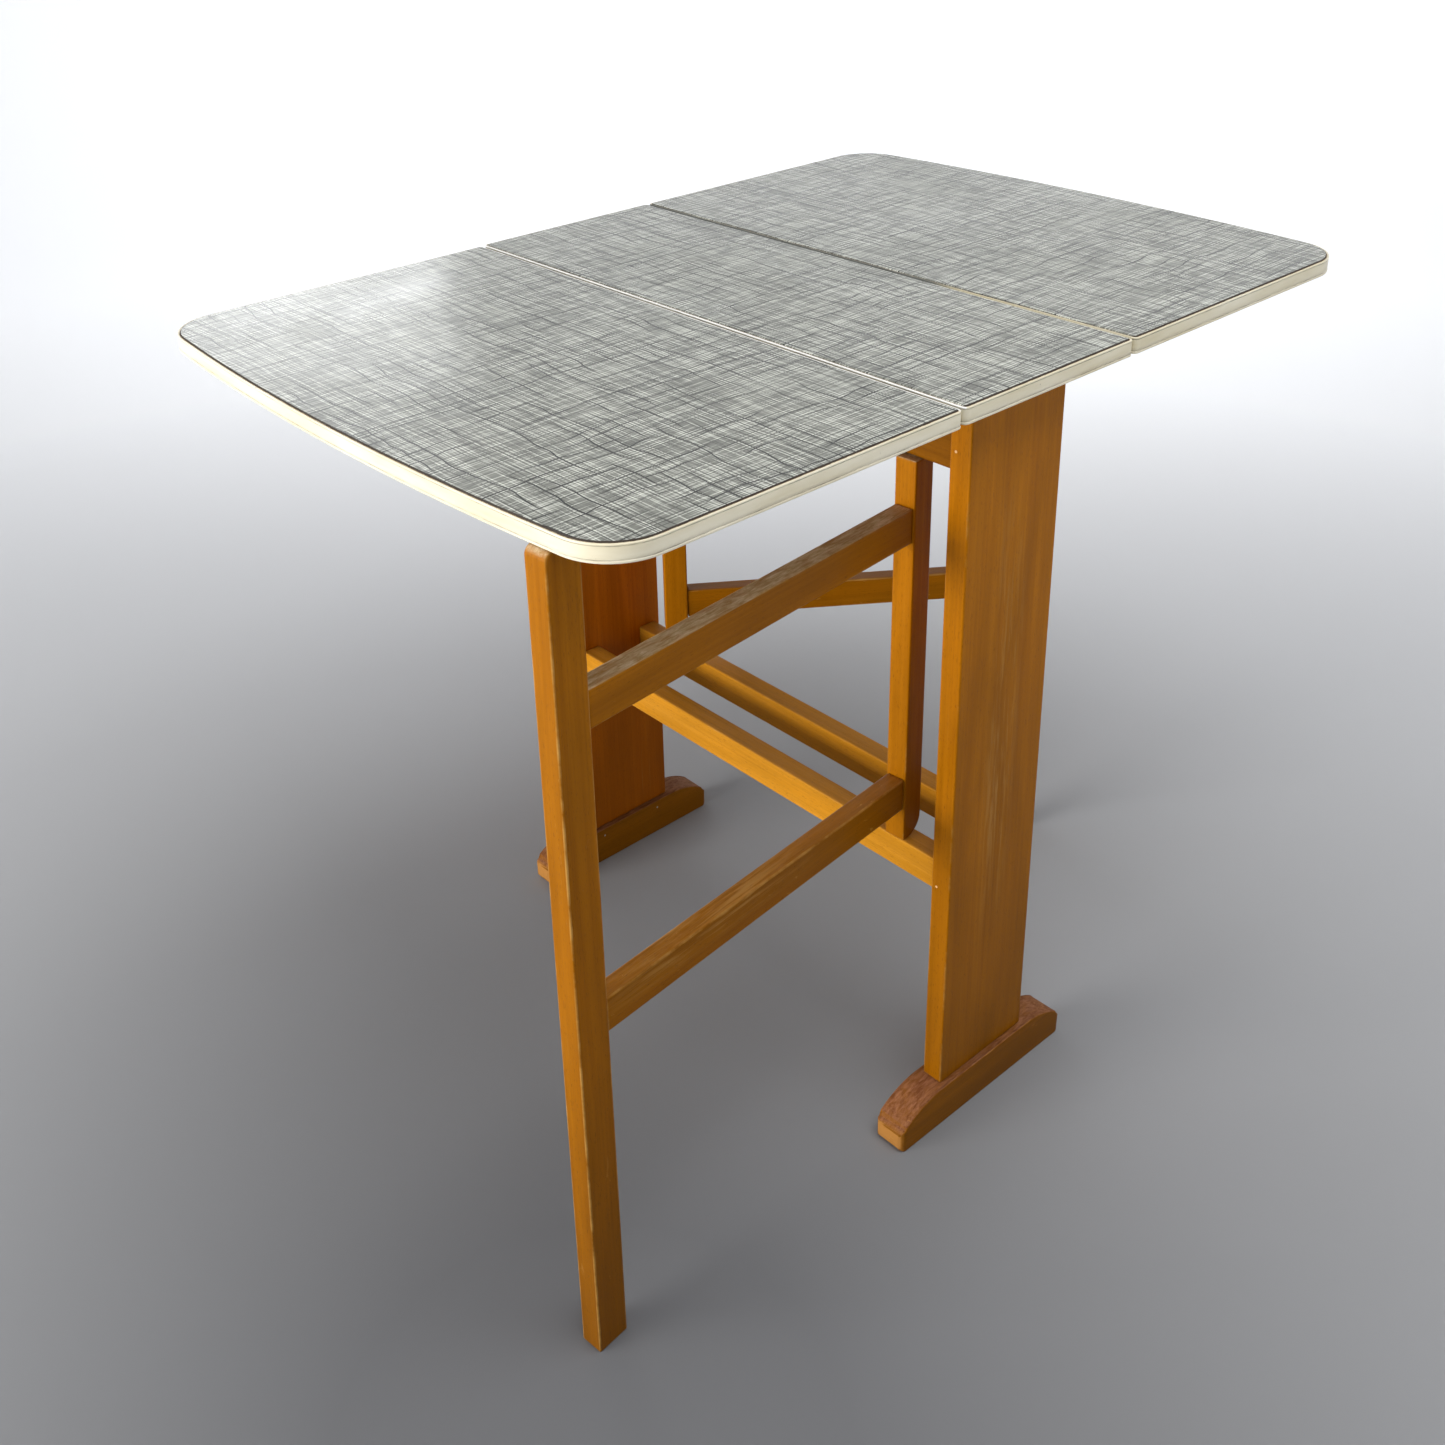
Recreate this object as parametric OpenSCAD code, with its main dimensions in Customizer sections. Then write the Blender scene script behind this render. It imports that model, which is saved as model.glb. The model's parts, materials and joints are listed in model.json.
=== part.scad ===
// Gateleg table: a fixed centre panel on two end boards, with a hinged leaf on
// each long side and one swinging gate under each leaf.
// +X runs along the seams, -Y is the near leaf, +Y the far leaf, +Z is up.
// The origin is on the floor, under the middle of the table.

/* [Top] */
// Height of the centre panel's upper face
height = 745; // [700:5:780]
// Width of all three panels along the seams
top_w = 610; // [560:5:660]
// Depth of the centre panel between its two seams
centre_d = 210; // [200:5:240]
// Depth of each leaf at the middle of its bowed end
leaf_d = 350; // [300:5:380]
// Gap between a leaf and the centre panel
seam_gap = 2; // [1.5:0.5:3]
// Thickness of every panel
top_t = 15; // [14:1:18]
// Thickness of the laminate on the core board
laminate_t = 1; // [0.8:0.1:1.5]
// Thickness of the plastic edging
edging_t = 2; // [1.5:0.5:3]
// Gap between the laminate and the edging's raised lip
lip_gap = 0.3; // [0.2:0.1:0.5]
// How far the middle of a leaf's outer end stands out from its corners
bow = 17; // [8:1:30]
// Corner radius at a leaf's outer end
leaf_corner_r = 48; // [30:1:70]
// Corner radius at the seams
seam_corner_r = 5; // [4:1:10]
// How much lower the near leaf sits than the centre panel
near_drop = 0.8; // [0:0.1:1]

/* [Trestle] */
// Distance over the outer faces of the two end boards
trestle_len = 550; // [500:5:560]
// Thickness of an end board
board_t = 21; // [18:1:25]
// Width of an end board
board_w = 118; // [110:1:130]
// Thickness of a foot
foot_t = 33; // [28:1:40]
// Length of a foot
foot_len = 236; // [200:2:300]
// Height of a foot under the end board
foot_h = 43; // [38:1:50]
// Height of a foot at its ends
foot_end_h = 22; // [15:1:30]
// Thickness of the stretchers and aprons
rail_t = 22; // [20:1:25]
// Distance over the outer faces of the two stretchers
stretchers_over = 102; // [98:1:106]
// Distance over the outer faces of the two aprons
aprons_over = 92; // [88:1:96]
// Height of a stretcher's underside above the floor
stretcher_z = 250; // [200:5:280]
// Height of a stretcher's section
stretcher_h = 32; // [28:1:40]
// Height of an apron's section
apron_h = 72; // [60:1:80]

/* [Gates] */
// Distance of a gate's pivot from the middle of the table, along the seams
pivot_x = 202; // [190:1:210]
// Distance of a gate's pivot from the middle of the table, across the seams
pivot_y = 38; // [37:0.5:39]
// Thickness of a gate's post and leg
gate_t = 21; // [18:1:22]
// Depth of the post along the gate
post_d = 25; // [22:1:28]
// Distance from the pivot to the post's face towards the leg
post_front = 14.5; // [12:0.5:16]
// Radius that rounds the foot of the post at the back
post_round = 18; // [10:1:18]
// Distance from the pivot to the leg's outer face
gate_reach = 414; // [390:1:420]
// Depth of the leg along the gate
leg_d = 31; // [26:1:36]
// Thickness of the gate's rails
gate_rail_t = 18; // [14:1:20]
// Height of the gate rails' section
gate_rail_h = 32; // [26:1:36]
// Height of the upper gate rail's underside
upper_rail_z = 582; // [540:2:600]
// Height of the lower gate rail's underside
lower_rail_z = 316; // [310:2:360]
// Angle the near gate stands open from the trestle
near_open = 95.4; // [60:0.1:99]
// Angle the far gate stands open from the trestle
far_open = 53.8; // [30:0.1:99]

/* [Hardware] */
// Diameter of a gate's pivot pins
pivot_d = 8; // [6:1:10]
// Length of a pivot pin
pivot_len = 50; // [40:2:56]
// Distance of each hinge from the middle of the seam
hinge_x = 105; // [80:5:110]
// Length of a hinge along the seam
hinge_len = 50; // [40:2:56]
// Depth of one hinge plate, from the barrel's axis
plate_d = 30; // [26:1:34]
// Thickness of a hinge plate
plate_t = 1.5; // [1.2:0.1:2]
// Radius of a hinge barrel
barrel_r = 2.8; // [2.6:0.1:3.2]
// Radius of a hinge pin
hinge_pin_r = 1.5; // [1.2:0.1:1.6]

/* [Hidden] */
$fn = 48;

// Colours
beech = [0.80, 0.50, 0.18];
foot_wood = [0.55, 0.30, 0.16];
laminate_grey = [0.62, 0.64, 0.60];
edging_cream = [0.93, 0.90, 0.82];
chipboard = [0.72, 0.58, 0.42];
steel = [0.70, 0.70, 0.68];

// Heights and places that follow from the dimensions above
under_z = height - top_t;
seam_y = centre_d / 2;
leaf_y = seam_y + seam_gap;
bow_r = (pow(top_w / 2, 2) + bow * bow) / (2 * bow);
board_x = trestle_len / 2 - board_t / 2;
inner_x = trestle_len / 2 - board_t;
stretcher_y = (stretchers_over - rail_t) / 2;
apron_y = (aprons_over - rail_t) / 2;
apron_z = under_z - apron_h;
stretcher_top = stretcher_z + stretcher_h;
snug = 0.1;
slip = 0.02;
running = 0.05;

// Joints between the trestle's pieces
tenon_t = 10;
tenon_len = 14;
tenon_shoulder = 5;
apron_shoulder = 10;
foot_tenon_t = 11;
foot_tenon_w = 98;
foot_tenon_len = 28;
pin_d = 2.4;
block_size = 22;
block_len = aprons_over - 2 * rail_t - 2;

// The gates
post_bottom = stretcher_top + 0.5;
post_top = apron_z - 1.5;
leg_top = under_z - near_drop - 0.4;
rail_end = gate_reach - leg_d;
rail_tenon = [12, 8, 22];
near_pivot = [pivot_x, -pivot_y];
far_pivot = [-pivot_x, pivot_y];
near_heading = 180 + near_open;
far_heading = far_open;

// The hinges
barrel_y = seam_y + seam_gap / 2;
barrel_z = under_z - near_drop - barrel_r - 0.3;
knuckle_len = hinge_len / 3;
knuckle_gap = 0.3;
screw_d = 3.5;
screw_head_d = 6.6;
plate_screws = [[-17, 9], [0, 20], [17, 9]];

// ---- Panels ----

// A rectangle with round corners, about its middle
module rounded_rect(w, d, r) {
    square([w - 2 * r, d], center = true);
    square([w, d - 2 * r], center = true);
    for (sx = [-1, 1], sy = [-1, 1])
        translate([sx * (w / 2 - r), sy * (d / 2 - r)]) circle(r);
}

// The centre panel's outline, drawn in by inset all round
module centre_outline(inset) {
    rounded_rect(top_w - 2 * inset, centre_d - 2 * inset, seam_corner_r - inset);
}

// Points along an arc from angle a0 to a1, without the first and last skip points
function arc(centre, r, a0, a1, steps, skip = 0) =
    [for (i = [skip:steps - skip]) let (a = a0 + (a1 - a0) * i / steps)
        centre + r * [cos(a), sin(a)]];

// A leaf's outline with its seam on y = 0 and its bowed end towards +Y
module leaf_outline(inset) {
    bow_y = leaf_d - bow_r;
    corner_x = top_w / 2 - leaf_corner_r;
    corner_y = bow_y + sqrt(pow(bow_r - leaf_corner_r, 2) - corner_x * corner_x);
    corner_r = leaf_corner_r - inset;
    turn = atan2(corner_y - bow_y, corner_x);
    seam_x = top_w / 2 - seam_corner_r;
    small_r = seam_corner_r - inset;
    polygon(concat(
        arc([seam_x, seam_corner_r], small_r, -90, 0, 4),
        arc([corner_x, corner_y], corner_r, 0, turn, 14),
        arc([0, bow_y], bow_r - inset, turn, 180 - turn, 40, 1),
        arc([-corner_x, corner_y], corner_r, 180 - turn, 180, 14),
        arc([-seam_x, seam_corner_r], small_r, 180, 270, 4)
    ));
}

module centre_slab(z, t, inset) {
    translate([0, 0, z]) linear_extrude(t) centre_outline(inset);
}

module leaf_slab(z, t, inset) {
    translate([0, 0, z]) linear_extrude(t) leaf_outline(inset);
}

// Places a leaf's pieces: side 1 is the far leaf, side -1 the near one
module at_leaf(side) {
    translate([0, side * leaf_y, side < 0 ? -near_drop : 0])
        rotate(side < 0 ? 180 : 0) children();
}

module centre_core() color(chipboard) difference() {
    centre_slab(under_z, top_t - laminate_t, edging_t);
    for (side = [-1, 1]) at_hinges(side) fixed_screw_set(slip);
    at_blocks() block_screw_set(slip);
}

module centre_laminate() color(laminate_grey)
    centre_slab(height - laminate_t, laminate_t, edging_t + lip_gap);

module centre_edging() color(edging_cream) translate([0, 0, under_z])
    linear_extrude(top_t) difference() {
        centre_outline(0);
        centre_outline(edging_t);
    }

module leaf_core(side) color(chipboard) difference() {
    at_leaf(side) leaf_slab(under_z, top_t - laminate_t, edging_t);
    at_hinges(side) moving_screw_set(side, slip);
}

module leaf_laminate(side) color(laminate_grey) at_leaf(side)
    leaf_slab(height - laminate_t, laminate_t, edging_t + lip_gap);

module leaf_edging(side) color(edging_cream) at_leaf(side) translate([0, 0, under_z])
    linear_extrude(top_t) difference() {
        leaf_outline(0);
        leaf_outline(edging_t);
    }

// ---- Trestle ----

// A box given by its lower corner in Y and Z and its middle in X
module post_box(x, y, z, size) {
    translate([x - size[0] / 2, y - size[1] / 2, z]) cube(size);
}

// Tenons of one long rail, at both of its ends; grow makes the mortises
module rail_tenons(y, z, h, shoulder, grow) {
    length = tenon_len + grow;
    for (end = [-1, 1])
        post_box(end * (inner_x + length / 2), y, z + shoulder - grow,
            [length, tenon_t + 2 * grow, h - 2 * shoulder + 2 * grow]);
}

// A pin driven into a board's edge through a tenon, at one end board
module board_pin_set(end, grow) {
    length = 26;
    for (side = [-1, 1], z = [stretcher_z + 12, apron_z + 24])
        translate([end * (inner_x + 6), side * (board_w / 2 - length), z])
            rotate([-90 * side, 0, 0]) cylinder(h = length, d = pin_d + 2 * grow);
}

// Pins through a foot's inner face into the end board's tenon
module foot_pin_set(end, grow) {
    length = 22;
    for (y = [-40, 40])
        translate([end * (board_x - foot_t / 2), y, foot_h - 9])
            rotate([0, end * 90, 0]) cylinder(h = length, d = pin_d + 2 * grow);
}

module end_board(end) color(beech) difference() {
    union() {
        post_box(end * board_x, 0, foot_h, [board_t, board_w, under_z - foot_h]);
        post_box(end * board_x, 0, foot_h - foot_tenon_len,
            [foot_tenon_t, foot_tenon_w, foot_tenon_len]);
    }
    for (side = [-1, 1]) {
        rail_tenons(side * stretcher_y, stretcher_z, stretcher_h, tenon_shoulder, snug);
        rail_tenons(side * apron_y, apron_z, apron_h, apron_shoulder, snug);
    }
    board_pin_set(end, slip);
    foot_pin_set(end, slip);
    at_blocks() block_side_screw(slip);
}

// One half of a foot's side profile, from beside the board down to the floor
function foot_half() =
    let (
        flat = board_w / 2 + 3,
        run = foot_len / 2 - flat,
        drop = foot_h - foot_end_h,
        arc_r = (run * run + drop * drop) / (2 * drop),
        sweep = asin(run / arc_r),
        toe_r = 6
    )
    concat(
        [for (i = [0:12]) let (a = sweep * i / 12)
            [flat + arc_r * sin(a), foot_h - arc_r * (1 - cos(a))]],
        [for (i = [0:6]) let (a = 90 * i / 6)
            [foot_len / 2 - toe_r + toe_r * cos(a), toe_r - toe_r * sin(a)]]
    );

module foot(end) color(foot_wood) difference() {
    translate([end * board_x - foot_t / 2, 0, 0]) rotate([90, 0, 90])
        linear_extrude(foot_t) polygon(concat(
            foot_half(),
            [for (i = [len(foot_half()) - 1:-1:0]) let (p = foot_half()[i]) [-p[0], p[1]]]
        ));
    post_box(end * board_x, 0, foot_h - foot_tenon_len - snug,
        [foot_tenon_t + 2 * snug, foot_tenon_w + 2 * snug, foot_tenon_len + 2 * snug]);
    foot_pin_set(end, slip);
}

module stretcher(side) color(beech) difference() {
    union() {
        post_box(0, side * stretcher_y, stretcher_z, [2 * inner_x, rail_t, stretcher_h]);
        rail_tenons(side * stretcher_y, stretcher_z, stretcher_h, tenon_shoulder, 0);
    }
    for (end = [-1, 1]) board_pin_set(end, slip);
    pivot_bore(side, stretcher_top - pivot_len / 2);
}

module apron(side) color(beech) difference() {
    union() {
        post_box(0, side * apron_y, apron_z, [2 * inner_x, rail_t, apron_h]);
        rail_tenons(side * apron_y, apron_z, apron_h, apron_shoulder, 0);
    }
    for (end = [-1, 1]) board_pin_set(end, slip);
    pivot_bore(side, apron_z - 1);
}

// Running bore for a gate's pivot pin, from z upwards
module pivot_bore(side, z) {
    translate([-side * pivot_x, side * pivot_y, z])
        cylinder(h = pivot_len / 2 + 1.5, d = pivot_d + 2 * running);
}

// Places what is at the two fixing blocks, each block's middle at the origin
module at_blocks() {
    for (end = [0, 180])
        rotate(end) translate([inner_x - block_size / 2, 0, under_z - block_size / 2])
            children();
}

// A countersunk wood screw pointing up, with its head's face on z = 0
module wood_screw(length, d, head_d, grow = 0) {
    difference() {
        union() {
            cylinder(h = length, d = d + 2 * grow);
            cylinder(h = (head_d - d) / 2, d1 = head_d + 2 * grow, d2 = d + 2 * grow);
        }
        if (grow == 0)
            translate([-head_d, -0.4, -0.01]) cube([2 * head_d, 0.8, 0.7]);
    }
}

module block_up_screws(grow) {
    for (y = [-15, 15])
        translate([0, y, -block_size / 2]) wood_screw(32, 4, 8, grow);
}

module block_side_screw(grow) {
    translate([-block_size / 2, 0, 0]) rotate([0, 90, 0]) wood_screw(36, 4, 8, grow);
}

module block_screw_set(grow) {
    block_up_screws(grow);
    block_side_screw(grow);
}

module fixing_blocks() color(beech) at_blocks() difference() {
    cube([block_size, block_len, block_size], center = true);
    block_screw_set(slip);
}

module block_screws() color(steel) at_blocks() block_screw_set(0);

module board_pins() color(steel) for (end = [-1, 1]) board_pin_set(end, 0);

module foot_pins() color(steel) for (end = [-1, 1]) foot_pin_set(end, 0);

// ---- Gates: each is drawn along +X from its pivot, then turned to its heading ----

module at_gate(side) {
    pivot = side < 0 ? near_pivot : far_pivot;
    translate([pivot[0], pivot[1], 0])
        rotate(side < 0 ? near_heading : far_heading) children();
}

// Tenons of a gate rail; grow makes the mortises
module gate_tenons(z, grow) {
    length = rail_tenon[0] + grow;
    for (x = [post_front - length / 2, rail_end + length / 2])
        post_box(x, 0, z + (gate_rail_h - rail_tenon[2]) / 2 - grow,
            [length, rail_tenon[1] + 2 * grow, rail_tenon[2] + 2 * grow]);
}

// Both pivot pins; grow makes the snug bores in the post
module gate_pins(grow) {
    for (z = [post_bottom - pivot_len / 2, post_top - pivot_len / 2])
        translate([0, 0, z]) cylinder(h = pivot_len, d = pivot_d + 2 * grow);
}

module gate_post(side) color(beech) at_gate(side) difference() {
    post_box(post_front - post_d / 2, 0, post_bottom, [post_d, gate_t, post_top - post_bottom]);
    post_heel();
    gate_tenons(upper_rail_z, snug);
    gate_tenons(lower_rail_z, snug);
    gate_pins(slip);
}

// What is cut away to round the foot of the post at the back
module post_heel() {
    back = post_front - post_d;
    difference() {
        translate([back - 1, -gate_t, post_bottom - 1])
            cube([post_round + 1, 2 * gate_t, post_round + 1]);
        translate([back + post_round, 0, post_bottom + post_round]) rotate([90, 0, 0])
            cylinder(h = 4 * gate_t, r = post_round, center = true);
    }
}

module gate_leg(side) color(beech) at_gate(side) difference() {
    post_box(rail_end + leg_d / 2, 0, 0, [leg_d, gate_t, leg_top]);
    gate_tenons(upper_rail_z, snug);
    gate_tenons(lower_rail_z, snug);
}

module gate_rail(side, z) color(beech) at_gate(side) {
    length = rail_end - post_front;
    post_box(post_front + length / 2, 0, z, [length, gate_rail_t, gate_rail_h]);
    gate_tenons(z, 0);
}

module gate_pivots(side) color(steel) at_gate(side) gate_pins(0);

// ---- Hinges: drawn round the barrel's axis, with the leaf towards +Y ----

module at_hinges(side) {
    rotate(side < 0 ? 180 : 0)
        for (x = [-hinge_x, hinge_x]) translate([x, barrel_y, barrel_z]) children();
}

// Height of a plate's lower face above the barrel's axis
function plate_z(lower) = under_z - barrel_z - lower - plate_t;

// Places a plate's screws on the +Y side, as seen from below
module at_plate_screws(z) {
    for (p = plate_screws) translate([p[0], p[1], z]) children();
}

module fixed_screw_set(grow) {
    mirror([0, 1, 0]) at_plate_screws(plate_z(0)) wood_screw(12, screw_d, screw_head_d, grow);
}

module moving_screw_set(side, grow) {
    at_plate_screws(plate_z(side < 0 ? near_drop : 0))
        wood_screw(12, screw_d, screw_head_d, grow);
}

// A knuckle of the barrel between two places along the seam
module knuckle(from, to, bore_r) {
    translate([from, 0, 0]) rotate([0, 90, 0]) difference() {
        cylinder(h = to - from, r = barrel_r);
        translate([0, 0, -1]) cylinder(h = to - from + 2, r = bore_r);
    }
}

// The web that joins a plate to a knuckle, clear of the pin
module knuckle_web(from, to, z) {
    translate([from, hinge_pin_r + 0.2, 0]) cube([to - from, barrel_r + 0.8, z + plate_t]);
}

// A plate on the +Y side, held clear of the barrel
module hinge_plate(z) {
    translate([-hinge_len / 2, barrel_r + 0.4, z])
        cube([hinge_len, plate_d - barrel_r - 0.4, plate_t]);
}

module fixed_plate() {
    mirror([0, 1, 0]) {
        hinge_plate(plate_z(0));
        for (end = [0, 1]) mirror([end, 0, 0]) {
            knuckle_web(knuckle_len / 2 + knuckle_gap, hinge_len / 2, plate_z(0));
            knuckle(knuckle_len / 2 + knuckle_gap, hinge_len / 2, hinge_pin_r + slip);
        }
    }
}

module moving_plate(z) {
    hinge_plate(z);
    knuckle_web(-knuckle_len / 2, knuckle_len / 2, z);
    knuckle(-knuckle_len / 2, knuckle_len / 2, hinge_pin_r + running);
}

module fixed_plates(side) color(steel) at_hinges(side) difference() {
    fixed_plate();
    fixed_screw_set(slip);
}

module moving_plates(side) color(steel) at_hinges(side) difference() {
    moving_plate(plate_z(side < 0 ? near_drop : 0));
    moving_screw_set(side, slip);
}

module hinge_pins(side) color(steel) at_hinges(side)
    rotate([0, 90, 0]) cylinder(h = hinge_len, r = hinge_pin_r, center = true);

module fixed_screws(side) color(steel) at_hinges(side) fixed_screw_set(0);

module moving_screws(side) color(steel) at_hinges(side) moving_screw_set(side, 0);

// ---- Drawing ----

centre_core();
centre_laminate();
centre_edging();
leaf_core(-1);  // near_leaf_core
leaf_laminate(-1);  // near_leaf_laminate
leaf_edging(-1);  // near_leaf_edging
leaf_core(1);  // far_leaf_core
leaf_laminate(1);  // far_leaf_laminate
leaf_edging(1);  // far_leaf_edging
end_board(1);  // right_end_board
end_board(-1);  // left_end_board
foot(1);  // right_foot
foot(-1);  // left_foot
stretcher(-1);  // near_stretcher
stretcher(1);  // far_stretcher
apron(-1);  // near_apron
apron(1);  // far_apron
fixing_blocks();
block_screws();
board_pins();
foot_pins();
gate_post(-1);  // near_gate_post
gate_leg(-1);  // near_gate_leg
gate_rail(-1, upper_rail_z);  // near_gate_upper_rail
gate_rail(-1, lower_rail_z);  // near_gate_lower_rail
gate_pivots(-1);  // near_gate_pivots
gate_post(1);  // far_gate_post
gate_leg(1);  // far_gate_leg
gate_rail(1, upper_rail_z);  // far_gate_upper_rail
gate_rail(1, lower_rail_z);  // far_gate_lower_rail
gate_pivots(1);  // far_gate_pivots
fixed_plates(-1);  // near_fixed_plates
moving_plates(-1);  // near_moving_plates
hinge_pins(-1);  // near_hinge_pins
fixed_screws(-1);  // near_fixed_screws
moving_screws(-1);  // near_moving_screws
fixed_plates(1);  // far_fixed_plates
moving_plates(1);  // far_moving_plates
hinge_pins(1);  // far_hinge_pins
fixed_screws(1);  // far_fixed_screws
moving_screws(1);  // far_moving_screws
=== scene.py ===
import json
import math

import bmesh
import bpy
from mathutils import Matrix, Vector


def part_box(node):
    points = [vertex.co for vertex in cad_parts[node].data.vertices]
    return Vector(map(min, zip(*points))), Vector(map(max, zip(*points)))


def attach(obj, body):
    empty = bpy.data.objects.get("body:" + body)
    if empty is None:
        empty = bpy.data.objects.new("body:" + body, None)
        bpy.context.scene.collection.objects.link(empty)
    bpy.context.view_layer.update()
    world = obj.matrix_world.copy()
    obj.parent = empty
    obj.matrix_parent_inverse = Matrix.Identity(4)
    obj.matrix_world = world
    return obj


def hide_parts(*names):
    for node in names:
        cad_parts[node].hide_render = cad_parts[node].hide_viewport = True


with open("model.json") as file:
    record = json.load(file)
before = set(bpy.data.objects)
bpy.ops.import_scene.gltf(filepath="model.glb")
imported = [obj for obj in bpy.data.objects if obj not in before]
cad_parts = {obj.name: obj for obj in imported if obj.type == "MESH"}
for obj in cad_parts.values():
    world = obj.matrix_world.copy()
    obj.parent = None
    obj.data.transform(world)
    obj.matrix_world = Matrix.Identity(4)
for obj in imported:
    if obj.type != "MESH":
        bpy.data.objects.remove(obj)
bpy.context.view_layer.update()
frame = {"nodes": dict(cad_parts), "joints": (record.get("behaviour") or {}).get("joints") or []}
print("frame loaded")

mm = 0.001
nodes = frame["nodes"]
joints = {j["name"]: j for j in frame["joints"]}


# small helpers

def newPiece(name, bm, body, replaced, materials, smoothAngle=40):
    # the finished mesh stays in place in the table's own frame
    mesh = bpy.data.meshes.new(name)
    bm.to_mesh(mesh)
    bm.free()
    piece = bpy.data.objects.new(name, mesh)
    bpy.context.scene.collection.objects.link(piece)
    for material in materials:
        mesh.materials.append(material)
    mesh.set_sharp_from_angle(angle=math.radians(smoothAngle))
    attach(piece, body)
    if replaced:
        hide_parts(*replaced)
    return piece


def dress(nodeNames, material):
    for nodeName in nodeNames:
        mesh = nodes[nodeName].data
        mesh.materials.clear()
        mesh.materials.append(material)


def floatLayer(bm, name):
    layers = bm.verts.layers.float
    return layers.get(name) or layers.new(name)


# shader node helpers

def addNode(tree, kind, inputs=None, **settings):
    node = tree.nodes.new(kind)
    for key, value in settings.items():
        setattr(node, key, value)
    for key, value in (inputs or {}).items():
        node.inputs[key].default_value = value
    return node


def mathNode(tree, operation, a, b=None, clamp=False):
    node = addNode(tree, "ShaderNodeMath", operation=operation, use_clamp=clamp)
    for index, value in enumerate((a, b)):
        if value is None:
            continue
        if isinstance(value, (int, float)):
            node.inputs[index].default_value = value
        else:
            tree.links.new(value, node.inputs[index])
    return node.outputs[0]


def mixColour(tree, factor, a, b, blend="MIX"):
    node = addNode(tree, "ShaderNodeMix", data_type="RGBA", blend_type=blend)
    for index, value in ((0, factor), (6, a), (7, b)):
        if isinstance(value, (int, float)):
            node.inputs[index].default_value = value
        elif isinstance(value, tuple):
            node.inputs[index].default_value = (*value, 1)
        else:
            tree.links.new(value, node.inputs[index])
    return node.outputs[2]


def remap(tree, value, low, high, toLow=0.0, toHigh=1.0):
    node = addNode(tree, "ShaderNodeMapRange")
    node.inputs["From Min"].default_value = low
    node.inputs["From Max"].default_value = high
    node.inputs["To Min"].default_value = toLow
    node.inputs["To Max"].default_value = toHigh
    tree.links.new(value, node.inputs["Value"])
    return node.outputs[0]


def stretchedNoise(tree, vector, stretch, detail=3.0, roughness=0.55, distortion=0.0, offset=(0, 0, 0)):
    scaled = addNode(tree, "ShaderNodeVectorMath", operation="MULTIPLY_ADD")
    scaled.inputs[1].default_value = stretch
    scaled.inputs[2].default_value = offset
    tree.links.new(vector, scaled.inputs[0])
    noise = addNode(tree, "ShaderNodeTexNoise", {"Scale": 1.0, "Detail": detail, "Roughness": roughness,
                                                 "Distortion": distortion})
    tree.links.new(scaled.outputs[0], noise.inputs["Vector"])
    return noise.outputs["Fac"]


def startGroup(name, inputs, outputs):
    tree = bpy.data.node_groups.new(name, "ShaderNodeTree")
    for label, kind, default in inputs:
        socket = tree.interface.new_socket(label, in_out="INPUT", socket_type=kind)
        if default is not None:
            socket.default_value = default
    for label, kind in outputs:
        tree.interface.new_socket(label, in_out="OUTPUT", socket_type=kind)
    return tree, tree.nodes.new("NodeGroupInput"), tree.nodes.new("NodeGroupOutput")


def placeGroup(tree, group, values=None, links=None):
    node = tree.nodes.new("ShaderNodeGroup")
    node.node_tree = group
    for key, value in (values or {}).items():
        node.inputs[key].default_value = value
    for key, socket in (links or {}).items():
        tree.links.new(socket, node.inputs[key])
    return node


def startMaterial(name, roughness, coat=0.0, coatRoughness=0.2, metallic=0.0, specular=0.5,
                  shineTint=(1, 1, 1)):
    material = bpy.data.materials.new(name)
    material.use_nodes = True
    tree = material.node_tree
    shader = tree.nodes["Principled BSDF"]
    shader.inputs["Roughness"].default_value = roughness
    shader.inputs["Metallic"].default_value = metallic
    shader.inputs["Coat Weight"].default_value = coat
    shader.inputs["Coat Roughness"].default_value = coatRoughness
    shader.inputs["Specular IOR Level"].default_value = specular
    shader.inputs["Specular Tint"].default_value = (*shineTint, 1)
    shader.inputs["Coat Tint"].default_value = (*shineTint, 1)
    return material, tree, shader


def objectCoords(tree, turn=(0, 0, 0), shift=(0, 0, 0)):
    coords = tree.nodes.new("ShaderNodeTexCoord")
    mapping = addNode(tree, "ShaderNodeMapping", vector_type="TEXTURE")
    mapping.inputs["Rotation"].default_value = turn
    mapping.inputs["Location"].default_value = shift
    tree.links.new(coords.outputs["Object"], mapping.inputs["Vector"])
    return mapping.outputs["Vector"]


def bumpFrom(tree, shader, height, strength, distance):
    bump = addNode(tree, "ShaderNodeBump", {"Strength": strength, "Distance": distance})
    tree.links.new(height, bump.inputs["Height"])
    tree.links.new(bump.outputs["Normal"], shader.inputs["Normal"])


# shared effects

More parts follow.
